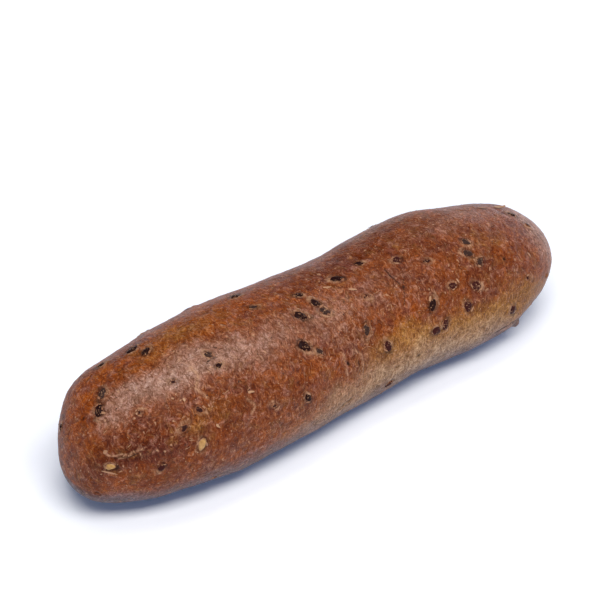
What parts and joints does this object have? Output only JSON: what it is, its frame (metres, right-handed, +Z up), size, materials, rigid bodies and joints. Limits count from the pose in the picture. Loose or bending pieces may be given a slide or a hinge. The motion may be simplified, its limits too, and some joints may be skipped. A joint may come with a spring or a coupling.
{
  "type": "grain baguette",
  "caption": "Short whole grain baguette with round ends, a thin brown crust and dark seeds baked into it, lying on its flat base.",
  "frame": {"origin": "middle of the loaf's footprint, on the surface that it rests on", "axes": "+X along the loaf towards its end that is farther away in the picture, +Z up, -Y towards the side that the picture shows"},
  "size_m": [0.199, 0.0588, 0.0506],
  "materials": {
    "crust": "thin baked crust, reddish brown with orange and tan patches, fine grained, satin sheen",
    "dark_seed": "toasted dark brown seed, slightly glossy",
    "pale_seed": "toasted golden seed and pale bran, matte"
  },
  "bodies": {
    "root": {"loaf": "crust"}
  },
  "joints": []
}
